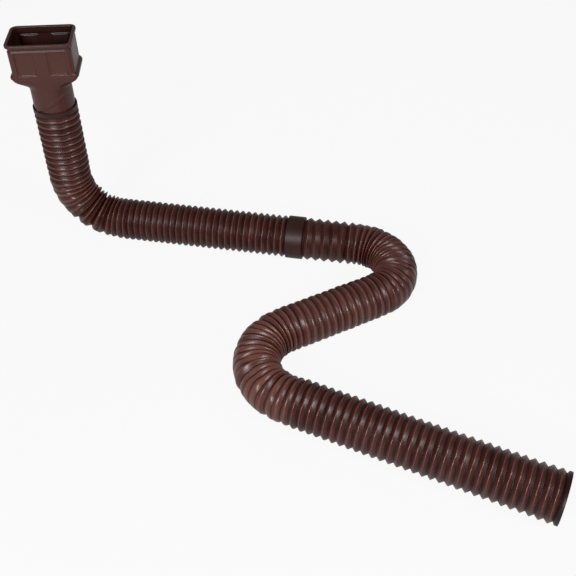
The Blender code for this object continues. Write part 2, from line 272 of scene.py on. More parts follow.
# %% Sizes of the hose
CREST_RADIUS = 0.045
HOSE_WALL = 0.0011
FACE_LENGTH = 0.0097
COLLAR_RADIUS = 0.0431
COLLAR_WALL = 0.0013
COLLAR_LENGTH = 0.010
CUFF_LENGTH = 0.0339  # 8 mm less than the solid's, which the folds on both sides of it take up
PLAIN_WALL = 0.0016
BAND_STEP = 0.003
LIP_RADIUS = 0.0435
LIP_STEP = 0.003
LIP_LENGTH = 0.005
print("hose:", 2 * CREST_RADIUS, "m across its crests")

# %% [markdown]
# ## Runs and bends
# A straight run is the same half fold again and again. In a bend each fold takes a share of the
# turn: less at its two ends, so that it eases in and out, and on the outside of the bend the folds
# open to the stretched pitch. A crease is folded in, not stretched, so it gets less painted sheen.

# %% Runs and bends
STRETCHED_PITCH = 0.0177
EASING_FOLDS = 3
CREASE_SHEEN = 0.5


def run(folds, pitch, give=0.0, painted_sheen=0.0):
    """Half folds of a run: length, turn, whether about up, give and painted sheen of each."""
    return [(pitch / 2, 0.0, True, give, painted_sheen)] * (2 * folds)


def bend(turn, folds, pitch_before, pitch_after, gives, about_up=True, painted_sheen=0.0):
    """Half folds of a bend: wedges that ease in and out, stretched outside, give by give."""
    ease = [min(1.0, (k + 1) / (EASING_FOLDS + 1), (folds - k) / (EASING_FOLDS + 1))
            for k in range(folds)]
    steps = []
    for k, share in enumerate(ease):
        rest = pitch_before if k < folds / 2 else pitch_after
        wedge = turn * share / sum(ease)
        pitch = rest + (STRETCHED_PITCH - rest) * share - abs(wedge) * CREST_RADIUS
        give = gives[k % len(gives)]
        sheen_share = painted_sheen * share * (CREASE_SHEEN if give < 0.0 else 1.0)
        steps += [(pitch / 2, wedge / 2, about_up, give, sheen_share)] * 2
    return steps


print("in a bend, the first folds take", [(k + 1) / (EASING_FOLDS + 1)
                                          for k in range(EASING_FOLDS)], "of a full turn")

# %% [markdown]
# ## The route
# From the adapter, the hose comes down the upright, turns on to the ground and makes its first run
# up to the cuff. Past the cuff it has a few opened folds, a bend to the right, a middle run, a
# bend to the left and a last run. Each pitch is the length of one fold there.

# %% Lay out the route
UPRIGHT_PITCH = 0.0135
FOOT_PITCH = 0.0131
FIRST_PITCH = 0.01322
OPENED_PITCH = 0.0177
RIGHT_PITCH = 0.0167
MIDDLE_PITCH = 0.0147
LAST_PITCH = 0.0143
FOOT_TURN = radians(90.0)
RIGHT_TURN = radians(-141.9)
LEFT_TURN = radians(127.0)
FOOT_GIVES = (0.12, 0.2, 0.3, 0.36, 0.36, 0.36, 0.32, -0.10, 0.2, -0.10, 0.1, -0.06,
              0.0, 0.0, 0.0, 0.0)
RIGHT_GIVES = (0.0, 0.05, 0.05, 0.08, -0.02, 0.06, 0.1)
LEFT_GIVES = (0.08, 0.05, 0.12, -0.04, 0.08, 0.14, 0.05, -0.05, 0.1)

before_cuff = (run(10, UPRIGHT_PITCH, give=0.10)
               + bend(FOOT_TURN, 16, UPRIGHT_PITCH, FOOT_PITCH, FOOT_GIVES,
                      about_up=False, painted_sheen=0.12)
               + run(26, FIRST_PITCH))
after_cuff = (run(5, OPENED_PITCH, give=-0.12)
              + bend(RIGHT_TURN, 21, RIGHT_PITCH, MIDDLE_PITCH, RIGHT_GIVES, painted_sheen=0.15)
              + run(11, MIDDLE_PITCH, give=0.12, painted_sheen=0.15)
              + bend(LEFT_TURN, 20, MIDDLE_PITCH, LAST_PITCH, LEFT_GIVES, painted_sheen=0.55)
              + run(31, LAST_PITCH))
print("half folds:", len(before_cuff), "before the cuff and", len(after_cuff), "after it")

# %% [markdown]
# ## Stations along the hose
# Walking the chain gives a station at each crest, valley and band edge. Each keeps its centre, its
# directions and what shapes the ring there. `lean` says how a half fold's length changes from the
# inside of a bend to the outside. `valley` is 0 on a crest and 1 in a valley; a plain band has no
# depth to lose, so there it only says how much painted shade the band gets. No real fold is
# perfect, so each is tilted and slipped a little by chance, and more so where it is bent or gives.

# %% Walking the chain
UNEVEN = 0.0004
BEND_UNEVEN = 2.0
GIVE_UNEVEN = 8.0
USUAL_WEDGE = radians(4.0)
VALLEY_SPREAD = 0.1
SEED = 7
UP = Vector((0.0, 0.0, 1.0))


class Walk:
    """Walks down the hose from the collar and notes a station wherever it is told to."""

    def __init__(self, start, heading):
        self.centre = start.copy()
        self.ahead = -UP
        self.side = UP.cross(heading)
        self.along = 0.0
        self.stations = []
        self.chance = np.random.default_rng(SEED)

    def step(self, length, turn=0.0, about_up=True, *_):
        """Go on by a step, turning by its wedge."""
        axis = UP if about_up else -self.side
        self.centre = self.centre + Matrix.Rotation(turn / 2, 3, axis) @ self.ahead * length
        self.ahead = Matrix.Rotation(turn, 3, axis) @ self.ahead
        if about_up:
            self.side = Matrix.Rotation(turn, 3, axis) @ self.side
        self.along += length

    def note(self, radius, wall, before=None, after=None, valley=0.0):
        """Note a plain ring, or a crest or valley between two half folds."""
        lean = Vector()
        half = FACE_LENGTH
        if before:
            half = (before[0] + after[0]) / 2
            for _, turn, about_up, *_ in (before, after):
                axis = UP if about_up else -self.side
                lean += axis.cross(self.ahead) * (turn / 2)
        uneven = 0.0
        if before:
            uneven = UNEVEN * (1.0 + BEND_UNEVEN * abs(before[1]) / USUAL_WEDGE
                               + GIVE_UNEVEN * max(0.0, before[3]))
        self.stations.append(dict(
            centre=self.centre.copy(), ahead=self.ahead.copy(), side=self.side.copy(),
            lean=lean, half=half, radius=radius - uneven * self.chance.random(), wall=wall,
            fold=1.0 if before else 0.0,
            valley=valley * (1.0 - VALLEY_SPREAD * self.chance.random()),
            give=before[3] if before else 0.0,
            painted_sheen=before[4] if before else 0.0,
            tilt=Vector(self.chance.uniform(-uneven, uneven, 3)),
            slip=self.chance.uniform(-uneven, uneven)))

    def folds(self, steps):
        """A run of folds, from a valley to a valley."""
        self.note(CREST_RADIUS, HOSE_WALL, steps[0], steps[0], valley=1.0)
        for index, step in enumerate(steps):
            following = steps[min(index + 1, len(steps) - 1)]
            self.step(*step)
            self.note(CREST_RADIUS, HOSE_WALL, step, following, valley=float(index % 2))

    def band(self, radius, wall, length, band_shade):
        """A plain band, from its one end to the other."""
        self.note(radius, wall, valley=band_shade)
        self.step(length)
        self.note(radius, wall, valley=band_shade)


print("where nothing bends or gives, a ring slips by up to", 1000 * UNEVEN, "mm")

# %% [markdown]
# ## Down the hose
# The walk starts at the top of the collar and goes straight down. Its heading is the way that the
# hose will run once it lies on the ground. A short step leads from each plain band into the next
# valley or out of the last one. A band's painted shade is on the scale of the valleys: at 1 it is
# as dark as they are.

# %% Walk down the hose
FIRST_HEADING = radians(-15.0)
# Painted shade of the plain bands: the collar under the adapter, the cuff and the hose's end
COLLAR_SHADE = 0.6
CUFF_SHADE = 0.7
LIP_SHADE = 1.0

walk = Walk(COLLAR_TOP, Vector((cos(FIRST_HEADING), sin(FIRST_HEADING), 0.0)))
walk.band(COLLAR_RADIUS, COLLAR_WALL, COLLAR_LENGTH, COLLAR_SHADE)
walk.step(BAND_STEP)
walk.folds(before_cuff)
walk.step(BAND_STEP)
walk.band(CREST_RADIUS, PLAIN_WALL, CUFF_LENGTH, CUFF_SHADE)
walk.step(BAND_STEP)
walk.folds(after_cuff)
walk.step(LIP_STEP)
walk.band(LIP_RADIUS, PLAIN_WALL, LIP_LENGTH, LIP_SHADE)
stations = walk.stations

# %% [markdown]
# ## The stations as points
# Geometry Nodes can read any number that a point carries. So the stations become a mesh of loose
# points, with one attribute for each value that shapes the ring there.

# %% Station points
VECTORS = ("ahead", "side", "lean", "tilt")
NUMBERS = ("half", "radius", "wall", "fold", "valley", "slip", "give", "painted_sheen")


def station_points(found):
    """A mesh of loose points that carry the stations' values."""
    mesh = bpy.data.meshes.new("hose_stations")
    mesh.from_pydata([s["centre"] for s in found], [], [])
    for name in VECTORS:
        layer = mesh.attributes.new(name, "FLOAT_VECTOR", "POINT")
        layer.data.foreach_set("vector", [v for s in found for v in s[name]])
    for name in NUMBERS:
        layer = mesh.attributes.new(name, "FLOAT", "POINT")
        layer.data.foreach_set("value", [s[name] for s in found])
    return mesh


hose = bpy.data.objects.new("folded_hose", station_points(stations))
bpy.context.scene.collection.objects.link(hose)
print("points carry:", [a.name for a in hose.data.attributes])

# %% [markdown]
# ## Reading a station
# In a tree, a point of the wall has to read the station that it belongs to. Sample Index does
# that: it reads one value of one numbered point of the path.

# %% Read a station
def station_value(tree, path, number, name):
    """One value of the station with a number."""
    kind = "FLOAT" if name in NUMBERS else "FLOAT_VECTOR"
    if name == "centre":
        field = add_node(tree, "GeometryNodeInputPosition")
    else:
        field = add_node(tree, "GeometryNodeInputNamedAttribute", {"Name": name}, data_type=kind)
    return add_node(tree, "GeometryNodeSampleIndex", {
        "Geometry": path, "Value": field.outputs[0], "Index": number},
        data_type=kind, domain="POINT", clamp=True).outputs[0]


print("values to read at a station:", ("centre",) + VECTORS + NUMBERS)

# %% [markdown]
# ## How deep a fold is
# A fold's slanted face keeps its length, so where the fold is short it has to be deep: depth is
# the third side of a right-angled triangle. That one rule makes the folds pinch inside a bend and
# open nearly flat outside it. A fold that is stretched almost flat gives up most of its depth at
# once, as the real plastic does, and a crease is deeper than the rule says.

# %% Depth of a fold
FLATTENS_FROM, FLAT_FROM = 0.84, 0.94
DEPTH_WHEN_FLAT = 0.15
CREASE_DEPTH = 6.0


def fold_depth(tree, here, out, face, crest_radius):
    """How deep a station's ring is in a direction, its half fold's length, and how open it is."""
    lean = add_node(tree, "ShaderNodeVectorMath", {0: here["lean"], 1: out},
                    operation="DOT_PRODUCT").outputs["Value"]
    change = add_node(tree, "ShaderNodeMath", {0: lean, 1: crest_radius},
                      operation="MULTIPLY").outputs[0]
    half = add_node(tree, "ShaderNodeMath", {0: here["half"], 1: change},
                    operation="SUBTRACT").outputs[0]
    face_square = add_node(tree, "ShaderNodeMath", {0: face, 1: face},
                           operation="MULTIPLY").outputs[0]
    half_square = add_node(tree, "ShaderNodeMath", {0: half, 1: half},
                           operation="MULTIPLY").outputs[0]
    square = add_node(tree, "ShaderNodeMath", {0: face_square, 1: half_square},
                      operation="SUBTRACT").outputs[0]
    positive = add_node(tree, "ShaderNodeMath", {0: square, 1: 0.0}, operation="MAXIMUM").outputs[0]
    depth = add_node(tree, "ShaderNodeMath", {0: positive}, operation="SQRT").outputs[0]
    openness = add_node(tree, "ShaderNodeMath", {0: half, 1: face}, operation="DIVIDE").outputs[0]
    strained = add_node(tree, "ShaderNodeMath", {0: openness, 1: here["give"]},
                        operation="ADD").outputs[0]
    left = add_node(tree, "ShaderNodeMapRange", {
        0: strained, 1: FLATTENS_FROM, 2: FLAT_FROM, 3: 1.0, 4: DEPTH_WHEN_FLAT},
        interpolation_type="SMOOTHSTEP").outputs[0]
    crease = add_node(tree, "ShaderNodeMath", {0: here["give"], 1: 0.0},
                      operation="MINIMUM").outputs[0]
    left = add_node(tree, "ShaderNodeMath", {0: crease, 1: -CREASE_DEPTH, 2: left},
                    operation="MULTIPLY_ADD").outputs[0]
    share = add_node(tree, "ShaderNodeMath", {0: here["valley"], 1: left},
                     operation="MULTIPLY").outputs[0]
    sunk = add_node(tree, "ShaderNodeMath", {0: depth, 1: share}, operation="MULTIPLY").outputs[0]
    return sunk, half, openness


for pitch in (UPRIGHT_PITCH, MIDDLE_PITCH, OPENED_PITCH):
    deep = (FACE_LENGTH ** 2 - pitch ** 2 / 4) ** 0.5
    print("by the rule, a fold", pitch, "m long is", round(deep, 4), "m deep")

# %% [markdown]
# ## A point on a ring, in Geometry Nodes
# This group finds the point at one angle on one station's ring: out from the centre by the crest's
# radius, less the fold's depth, and less the wall on the inner ring. The wall, measured square to
# the face, is thicker when measured towards the middle. Last, the point is shifted along the hose
# by the ring's own small tilt and slip.

# %% Ring point group
def ring_point_group():
    """The group: a station's number and an angle give a point on its outer or inner ring."""
    tree = bpy.data.node_groups.new("ring_point", "GeometryNodeTree")
    new_socket = tree.interface.new_socket
    new_socket("Path", in_out="INPUT", socket_type="NodeSocketGeometry")
    new_socket("Ring", in_out="INPUT", socket_type="NodeSocketInt")
    for name in ("Angle", "Inside", "Face Length", "Crest Radius"):
        new_socket(name, in_out="INPUT", socket_type="NodeSocketFloat")
    new_socket("Point", in_out="OUTPUT", socket_type="NodeSocketVector")
    given = add_node(tree, "NodeGroupInput").outputs

    # All that a station carries but its painted sheen, which only the colour needs
    here = {name: station_value(tree, given["Path"], given["Ring"], name)
            for name in ("centre",) + VECTORS + NUMBERS if name != "painted_sheen"}

    over = add_node(tree, "ShaderNodeVectorMath", {0: here["ahead"], 1: here["side"]},
                    operation="CROSS_PRODUCT").outputs[0]
    cosine = add_node(tree, "ShaderNodeMath", {0: given["Angle"]}, operation="COSINE").outputs[0]
    sine = add_node(tree, "ShaderNodeMath", {0: given["Angle"]}, operation="SINE").outputs[0]
    sideways = add_node(tree, "ShaderNodeVectorMath", {0: here["side"], "Scale": cosine},
                        operation="SCALE").outputs[0]
    upwards = add_node(tree, "ShaderNodeVectorMath", {0: over, "Scale": sine},
                       operation="SCALE").outputs[0]
    out = add_node(tree, "ShaderNodeVectorMath", {0: sideways, 1: upwards},
                   operation="ADD").outputs[0]

    sunk, half, openness = fold_depth(tree, here, out, given["Face Length"],
                                      given["Crest Radius"])
    slant = add_node(tree, "ShaderNodeMath", {0: given["Face Length"], 1: half},
                     operation="DIVIDE").outputs[0]
    slant_share = add_node(tree, "ShaderNodeMix", {0: here["fold"], 2: 1.0, 3: slant},
                           data_type="FLOAT").outputs[0]
    thick = add_node(tree, "ShaderNodeMath", {0: here["wall"], 1: slant_share},
                     operation="MULTIPLY").outputs[0]
    inset = add_node(tree, "ShaderNodeMath", {0: thick, 1: given["Inside"]},
                     operation="MULTIPLY").outputs[0]
    outer = add_node(tree, "ShaderNodeMath", {0: here["radius"], 1: sunk},
                     operation="SUBTRACT").outputs[0]
    radius = add_node(tree, "ShaderNodeMath", {0: outer, 1: inset}, operation="SUBTRACT").outputs[0]
    reach = add_node(tree, "ShaderNodeVectorMath", {0: out, "Scale": radius},
                     operation="SCALE").outputs[0]
    round_point = add_node(tree, "ShaderNodeVectorMath", {0: here["centre"], 1: reach},
                           operation="ADD").outputs[0]

    tilted = add_node(tree, "ShaderNodeVectorMath", {0: here["tilt"], 1: out},
                      operation="DOT_PRODUCT").outputs["Value"]
    uneven = add_node(tree, "ShaderNodeMath", {0: tilted, 1: here["slip"]},
                      operation="ADD").outputs[0]
    uneven = add_node(tree, "ShaderNodeMath", {0: uneven, 1: openness},
                      operation="MULTIPLY").outputs[0]
    shift = add_node(tree, "ShaderNodeVectorMath", {0: here["ahead"], "Scale": uneven},
                     operation="SCALE").outputs[0]
    point = add_node(tree, "ShaderNodeVectorMath", {0: round_point, 1: shift},
                     operation="ADD").outputs[0]
    add_node(tree, "NodeGroupOutput", {"Point": point})
    return tree


ring_point = ring_point_group()
print("group:", ring_point.name, len(ring_point.nodes), "nodes")

# %% [markdown]
# ## A straight tube with enough loops
# The wall starts as a plain cylinder with one loop of points for every ring. Its loops go down the
# outside and come back up the inside, so the wall is closed. Each half fold has five loops: one
# on its first edge, and two at each of its ends to round the edges with.

# %% Tube
ROUNDING_SHARES = (0.5, 0.75, 1.0, 1.0, 0.75)
LOOPS_PER_HALF_FOLD = len(ROUNDING_SHARES)


def straight_tube(tree, path, sides):
    """The tube's mesh, its spans, its outer loops and all its loops."""
    # Five loops to a half fold outside, one to a station inside, and one that closes the wall
    count = add_node(tree, "GeometryNodeAttributeDomainSize", {0: path},
                     component="MESH").outputs["Point Count"]
    spans = add_node(tree, "FunctionNodeIntegerMath", {0: count, 1: 1},
                     operation="SUBTRACT").outputs[0]
    outer = add_node(tree, "FunctionNodeIntegerMath", {0: spans, 1: LOOPS_PER_HALF_FOLD, 2: 1},
                     operation="MULTIPLY_ADD").outputs[0]
    loops = add_node(tree, "FunctionNodeIntegerMath", {0: outer, 1: count},
                     operation="ADD").outputs[0]
    tube = add_node(tree, "GeometryNodeMeshCylinder", {
        "Vertices": sides, "Side Segments": loops, "Radius": 1.0, "Depth": loops},
        fill_type="NONE")
    return tube.outputs["Mesh"], spans, outer, loops


print("loops to a half fold:", LOOPS_PER_HALF_FOLD)

# %% [markdown]
# ## Which ring a point is on
# The tube is as high as it has loops, so a point's height tells its loop and the two other
# coordinates its angle. Outside, the loop tells the station before it and its slot from there on.
# Inside, the loops are counted back from the last station.

# %% Place on the tube
def place_on_tube(tree, spans, outer, loops):
    """A point's angle, whether it is inside, its station and its slot."""
    place = add_node(tree, "ShaderNodeSeparateXYZ", {
        0: add_node(tree, "GeometryNodeInputPosition").outputs[0]})
    middle = add_node(tree, "ShaderNodeMath", {0: loops, 1: 0.5}, operation="MULTIPLY").outputs[0]
    height = add_node(tree, "ShaderNodeMath", {0: place.outputs["Z"], 1: middle},
                      operation="ADD").outputs[0]
    loop = add_node(tree, "FunctionNodeFloatToInt", {0: height}, rounding_mode="ROUND").outputs[0]
    loop = add_node(tree, "FunctionNodeIntegerMath", {0: loop, 1: loops},
                    operation="MODULO").outputs[0]
    angle = add_node(tree, "ShaderNodeMath", {0: place.outputs["Y"], 1: place.outputs["X"]},
                     operation="ARCTAN2").outputs[0]
    is_inside = add_node(tree, "FunctionNodeCompare", {2: loop, 3: outer},
                         data_type="INT", operation="GREATER_EQUAL").outputs[0]

    # The station before it, and how far on towards the next one it is
    station_out = add_node(tree, "FunctionNodeIntegerMath", {0: loop, 1: LOOPS_PER_HALF_FOLD},
                           operation="DIVIDE_FLOOR").outputs[0]
    last = add_node(tree, "FunctionNodeIntegerMath", {0: outer, 1: spans},
                    operation="ADD").outputs[0]
    station_in = add_node(tree, "FunctionNodeIntegerMath", {0: last, 1: loop},
                          operation="SUBTRACT").outputs[0]
    station = add_node(tree, "GeometryNodeSwitch", {
        "Switch": is_inside, "False": station_out, "True": station_in},
        input_type="INT").outputs[0]
    slot_out = add_node(tree, "FunctionNodeIntegerMath", {0: loop, 1: LOOPS_PER_HALF_FOLD},
                        operation="MODULO").outputs[0]
    slot = add_node(tree, "GeometryNodeSwitch", {
        "Switch": is_inside, "False": slot_out, "True": 0}, input_type="INT").outputs[0]
    return angle, is_inside, station, slot


print("slots:", list(range(LOOPS_PER_HALF_FOLD)))

# %% [markdown]
# ## Which edge a point rounds
# Two neighbouring faces of the folds meet in an edge, a crest or a valley. Of the five loops, the
# first three round the edge behind them and the last two the edge ahead. Each reads how far round
# its curve it is, and the numbers of the stations at the edge and at the other ends of both faces.

# %% Edge of a point
NEAR_LOOPS = 3


def edge_of_point(tree, station, slot):
    """How far round its edge a point is, and the stations at the edge and on its two sides."""
    is_far = add_node(tree, "FunctionNodeCompare", {2: slot, 3: NEAR_LOOPS}, data_type="INT",
                      operation="GREATER_EQUAL").outputs[0]
    turn = add_node(tree, "GeometryNodeIndexSwitch", data_type="FLOAT")
    for _ in range(LOOPS_PER_HALF_FOLD - 2):
        turn.index_switch_items.new()
    tree.links.new(slot, turn.inputs["Index"])
    for number, share in enumerate(ROUNDING_SHARES):
        turn.inputs[number + 1].default_value = share

    # 1 where the point's own face lies ahead of the edge, and -1 where it lies behind it
    onwards = add_node(tree, "ShaderNodeMath", {0: is_far, 1: -2.0, 2: 1.0},
                       operation="MULTIPLY_ADD").outputs[0]
    edge = add_node(tree, "ShaderNodeMath", {0: station, 1: is_far}, operation="ADD").outputs[0]
    other = add_node(tree, "ShaderNodeMath", {0: edge, 1: onwards}, operation="ADD").outputs[0]
    beyond = add_node(tree, "ShaderNodeMath", {0: edge, 1: onwards},
                      operation="SUBTRACT").outputs[0]
    return turn.outputs[0], {"edge": edge, "other": other, "beyond": beyond}


print("loops behind and ahead:", NEAR_LOOPS, LOOPS_PER_HALF_FOLD - NEAR_LOOPS)

# %% [markdown]
# ## Rounding the edges
# Moulded plastic has no sharp edge. The points near an edge lie on a short curve from one face to
# the next: a quadratic one, with the edge as its middle point. It is longer on a crest that gives
# or has painted sheen. The number for the colour keeps to the plain curve, so the worn edge with
# its painted highlight stays thin.

# %% Rounded edge
WIDE_WITH_GIVE = 2.2
WIDE_WITH_SHEEN = 0.8
LEAST_ROUNDING, MOST_ROUNDING = 0.05, 0.5
PLAIN_CREST = 0.5  # the `crest` of a plain band that isn't dark


def rounded_edge(tree, given, turn, points, carried):
    """Where a point goes, and how much of a crest it is."""
    wide = add_node(tree, "ShaderNodeMath", {0: carried["edge", "give"], 1: WIDE_WITH_GIVE,
                                             2: given["Crest Rounding"]},
                    operation="MULTIPLY_ADD").outputs[0]
    wide = add_node(tree, "ShaderNodeMath", {0: carried["edge", "painted_sheen"], 1: WIDE_WITH_SHEEN,
                                             2: wide}, operation="MULTIPLY_ADD").outputs[0]
    wide = add_node(tree, "ShaderNodeClamp", {
        0: wide, 1: LEAST_ROUNDING, 2: MOST_ROUNDING}).outputs[0]
    reaches = []
    for crest_reach in (wide, given["Crest Rounding"]):
        reach = add_node(tree, "ShaderNodeMix", {
            0: carried["edge", "valley"], 2: crest_reach, 3: given["Valley Rounding"]},
            data_type="FLOAT").outputs[0]
        reaches.append(add_node(tree, "ShaderNodeMath", {0: reach, 1: carried["edge", "fold"]},
                                operation="MULTIPLY").outputs[0])
    reach, colour_reach = reaches
    back = add_node(tree, "ShaderNodeMath", {0: 1.0, 1: turn}, operation="SUBTRACT").outputs[0]
    position = points["edge"]
    crest = add_node(tree, "ShaderNodeMath", {0: 1.0, 1: carried["edge", "valley"]},
                     operation="SUBTRACT").outputs[0]
    for name, share in (("other", turn), ("beyond", back)):
        square = add_node(tree, "ShaderNodeMath", {0: share, 1: share},
                          operation="MULTIPLY").outputs[0]
        weight = add_node(tree, "ShaderNodeMath", {0: square, 1: reach},
                          operation="MULTIPLY").outputs[0]
        arm = add_node(tree, "ShaderNodeVectorMath", {0: points[name], 1: points["edge"]},
                       operation="SUBTRACT").outputs[0]
        pull = add_node(tree, "ShaderNodeVectorMath", {0: arm, "Scale": weight},
                        operation="SCALE").outputs[0]
        position = add_node(tree, "ShaderNodeVectorMath", {0: position, 1: pull},
                            operation="ADD").outputs[0]
        change = add_node(tree, "ShaderNodeMath", {0: carried["edge", "valley"],
                                                   1: carried[name, "valley"]},
                          operation="SUBTRACT").outputs[0]
        weight = add_node(tree, "ShaderNodeMath", {0: square, 1: colour_reach},
                          operation="MULTIPLY").outputs[0]
        crest = add_node(tree, "ShaderNodeMath", {0: change, 1: weight, 2: crest},
                         operation="MULTIPLY_ADD").outputs[0]
    plain = add_node(tree, "ShaderNodeMath", {0: carried["edge", "valley"], 1: -PLAIN_CREST,
                                              2: PLAIN_CREST}, operation="MULTIPLY_ADD").outputs[0]
    crest = add_node(tree, "ShaderNodeMix", {0: carried["edge", "fold"], 2: plain, 3: crest},
                     data_type="FLOAT").outputs[0]
    return position, crest


print("a crest is rounded over", LEAST_ROUNDING, "to", MOST_ROUNDING, "of a face")

# %% [markdown]
# ## The wall of the hose
# This tree puts the steps together. What the material reads is stored while the tube is still
# straight, because the loops are told apart by their height. Then the tube is bent on to the
# stations, its seam is closed and it gets its material.

# %% Hose tree
SEAM_GAP = 0.00001


def hose_tree():
    """The tree that turns the station points into the wall of the hose."""
    tree = bpy.data.node_groups.new("folded_hose", "GeometryNodeTree")
    new_socket = tree.interface.new_socket
    new_socket("Path", in_out="INPUT", socket_type="NodeSocketGeometry")
    new_socket("Sides", in_out="INPUT", socket_type="NodeSocketInt")
    for name in ("Face Length", "Crest Radius", "Crest Rounding", "Valley Rounding"):
        new_socket(name, in_out="INPUT", socket_type="NodeSocketFloat")
    new_socket("Material", in_out="INPUT", socket_type="NodeSocketMaterial")
    new_socket("Wall", in_out="OUTPUT", socket_type="NodeSocketGeometry")
    given = add_node(tree, "NodeGroupInput").outputs
    wall, spans, outer, loops = straight_tube(tree, given["Path"], given["Sides"])
    angle, is_inside, station, slot = place_on_tube(tree, spans, outer, loops)
    turn, numbers = edge_of_point(tree, station, slot)

    # The ring's points at that edge, at the face's other end and at the next face's end
    points, carried = {}, {}
    for name, place in numbers.items():
        number = add_node(tree, "FunctionNodeFloatToInt", {0: place},
                          rounding_mode="ROUND").outputs[0]
        point = add_node(tree, "GeometryNodeGroup", node_tree=ring_point)
        for key, value in (("Path", given["Path"]), ("Ring", number), ("Angle", angle),
                           ("Inside", is_inside), ("Face Length", given["Face Length"]),
                           ("Crest Radius", given["Crest Radius"])):
            tree.links.new(value, point.inputs[key])
        points[name] = point.outputs[0]
        for field in ("valley", "fold", "give", "painted_sheen") if name == "edge" else ("valley",):
            carried[name, field] = station_value(tree, given["Path"], number, field)
    position, crest = rounded_edge(tree, given, turn, points, carried)

    for name, value in (("crest", crest), ("painted_sheen", carried["edge", "painted_sheen"])):
        wall = add_node(tree, "GeometryNodeStoreNamedAttribute", {
            "Geometry": wall, "Name": name, "Value": value},
            data_type="FLOAT", domain="POINT").outputs[0]
    bent = add_node(tree, "GeometryNodeSetPosition", {
        "Geometry": wall, "Position": position}).outputs[0]
    merged = add_node(tree, "GeometryNodeMergeByDistance", {
        "Geometry": bent, "Distance": SEAM_GAP}).outputs[0]
    smooth = add_node(tree, "GeometryNodeSetShadeSmooth", {"Geometry": merged}).outputs[0]
    real = add_node(tree, "GeometryNodeRealizeInstances", {"Geometry": smooth}).outputs[0]
    dressed = add_node(tree, "GeometryNodeSetMaterial", {
        "Geometry": real, "Material": given["Material"]}).outputs[0]
    add_node(tree, "NodeGroupOutput", {0: dressed})
    return tree


wall_tree = hose_tree()
print("tree:", wall_tree.name, len(wall_tree.nodes), "nodes")

# %% [markdown]
# ## From the tree to a plain mesh
# The modifier's inputs are set by their identifiers before anything is evaluated. Then the result
# is taken as a plain mesh and the modifier goes, so the piece is ordinary geometry from here on.

# %% Make the hose
HOSE_SIDES = 48
CREST_ROUNDING = 0.18
VALLEY_ROUNDING = 0.10
HOSE_SHARP = radians(60.0)


def apply_tree(item, tree, values):
    """Run a Geometry Nodes tree on an object and keep the result as its mesh."""
    modifier = item.modifiers.new(tree.name, "NODES")
    modifier.node_group = tree
    for socket in tree.interface.items_tree:
        if socket.in_out == "INPUT" and socket.name in values:
            modifier[socket.identifier] = values[socket.name]
    bpy.context.view_layer.update()
    graph = bpy.context.evaluated_depsgraph_get()
    mesh = bpy.data.meshes.new_from_object(item.evaluated_get(graph))
    item.modifiers.remove(modifier)
    item.data = mesh
    mesh.name = item.name


apply_tree(hose, wall_tree, {
    "Sides": HOSE_SIDES, "Face Length": FACE_LENGTH, "Crest Radius": CREST_RADIUS,
    "Crest Rounding": CREST_ROUNDING, "Valley Rounding": VALLEY_ROUNDING,
    "Material": hose_plastic})
hose.data.set_sharp_from_angle(angle=HOSE_SHARP)
print("hose:", len(hose.data.vertices), "points", len(hose.data.polygons), "faces")

# %% [markdown]
# ## The adapter as a loft
# The adapter's wall is a stack of outlines: a rounded rectangle for the socket, which turns into a
# circle at the hips. It could be cut from a box, but in a stack one wall runs smoothly from the
# one shape to the other. Each level says how proud the wall stands, how much of the panels' recess
# and of the side bulge it has, and how round it is. Corners in the stack are softened, as the
# mould's are, by sliding through each one on a short curve.

# %% Adapter sizes
SOCKET_WIDTH = 0.114
SOCKET_DEPTH = 0.0825
SOCKET_CORNER = 0.009
SOCKET_WALL = 0.0017
SOCKET_HEIGHT = 0.069
HIP_HEIGHT = 0.027
NECK_TOP = 0.0545
NECK_RADIUS = 0.040
NECK_WALL = 0.0018
NECK_STEP = 0.0019
RIM_PROUD = 0.0045
RIM_HEIGHT = 0.0065
GROOVE_HEIGHT = 0.005
SHOULDER_PROUD = 0.0015
EDGE = 0.0015
PANEL_TOP_BAND = 0.002
PANEL_HEIGHT = 0.0455
PANEL_RECESS = 0.0021
PANEL_SIDE = 0.047
PANEL_RIB = 0.023
BEAD_BULGE = 0.005
BEAD_HEIGHT = 0.006
SOCKET_BOTTOM = NECK_TOP + HIP_HEIGHT
RIM = SOCKET_BOTTOM + SOCKET_HEIGHT
GROOVE = RIM - RIM_HEIGHT
SHOULDER = GROOVE - GROOVE_HEIGHT
PANEL_TOP = SHOULDER - EDGE - PANEL_TOP_BAND
PANEL_BOTTOM = PANEL_TOP - PANEL_HEIGHT
print("adapter levels:", [round(v, 4) for v in (RIM, GROOVE, SHOULDER, PANEL_TOP, PANEL_BOTTOM)])

# %% [markdown]
# ## The outline of the socket
# Seen from above, the socket is a rounded rectangle. Its points lie close together at a panel's
# edges, so that the recess gets a clean edge. Every level has the same number of points, so that
# the levels can be joined one to one.

# %% Outline of the socket
CORNER_STEPS = 8
SIDE_STEPS = 8
EDGE_OFFSETS = (-1.0, -0.66, -0.33, 0.0, 0.4)
MARK_SPACING = 0.004
EXTRA_MARKS = [0.0, 0.0045, 0.009, 0.0475, 0.0455]
CORNER_GAP = 0.0005
PANEL_GAP = 0.001


def side_marks():
    """Where the points of a quarter outline lie: x on the long side, close at a panel's edges."""
    marks = [edge + offset * EDGE for edge in (PANEL_SIDE, PANEL_RIB / 2)
             for offset in EDGE_OFFSETS]
    between = int((PANEL_SIDE - PANEL_RIB / 2) / MARK_SPACING) - 1
    marks += [PANEL_RIB / 2 + MARK_SPACING + k * MARK_SPACING for k in range(between)]
    marks += EXTRA_MARKS
    return sorted(set(round(m, 6) for m in marks), reverse=True)


MARKS = [x for x in side_marks() if x < SOCKET_WIDTH / 2 - SOCKET_CORNER - CORNER_GAP]


